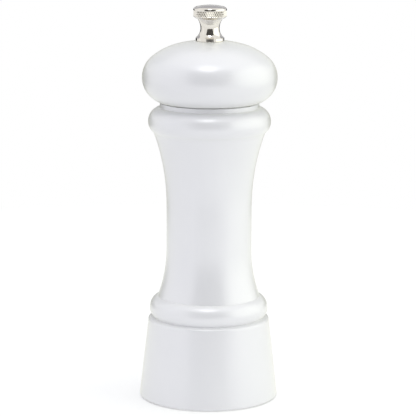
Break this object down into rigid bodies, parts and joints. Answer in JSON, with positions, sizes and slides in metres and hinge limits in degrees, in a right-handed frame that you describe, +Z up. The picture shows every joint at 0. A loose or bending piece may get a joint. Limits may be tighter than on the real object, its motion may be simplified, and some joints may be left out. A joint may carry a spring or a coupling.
{
  "type": "pepper mill",
  "caption": "Turned wooden pepper mill with a pearl white lacquer, a beaded waisted body, a round head that turns to grind and a knurled metal nut that sets the grind.",
  "frame": {"origin": "centre of the foot, on the surface the mill stands on", "axes": "+Z up along the turning axis, towards the top nut; the crossbar runs along X"},
  "size_m": [0.0534, 0.0534, 0.1519],
  "materials": {
    "pearl_lacquered_wood": "satin pearl white lacquer over turned hardwood",
    "polished_nickel": "polished nickel plate with a diamond knurl",
    "drawn_aluminium": "bright drawn square bar",
    "sintered_steel": "dark sintered steel",
    "spring_steel": "bright spring wire",
    "zinc_plated_steel": "pressed steel with bright zinc plate"
  },
  "bodies": {
    "base": {"mill_body": "pearl_lacquered_wood", "female_grinder": "sintered_steel", "crossbar": "zinc_plated_steel", "crossbar_screws": "zinc_plated_steel"},
    "spring": {"grinder_spring": "spring_steel"},
    "head": {"mill_head": "pearl_lacquered_wood", "drive_plate": "zinc_plated_steel", "drive_plate_screws": "zinc_plated_steel"},
    "nut": {"top_nut": "polished_nickel"},
    "spindle": {"shaft": "drawn_aluminium", "male_grinder": "sintered_steel", "retaining_ring": "spring_steel"}
  },
  "joints": [
    {"name": "head_turn", "type": "hinge", "parent": "base", "child": "spring", "pos_m": [0, 0, 0.1152], "axis": [0, 0, 1], "continuous": true},
    {"name": "head_lift", "type": "slide", "parent": "spring", "child": "head", "axis": [0, 0, 1], "range_m": [0, 0.055]},
    {"name": "nut_turn", "type": "hinge", "parent": "head", "child": "nut", "pos_m": [0, 0, 0.1383], "axis": [0, 0, 1], "range_deg": [0, 720]},
    {"name": "grind_gap", "type": "slide", "parent": "spring", "child": "spindle", "axis": [0, 0, 1], "range_m": [-0.0016, 0], "deforming": ["grinder_spring"]}
  ],
  "couplings": [
    {"joint": "nut_turn", "follows": "grind_gap", "rad_per_m": -7854}
  ]
}
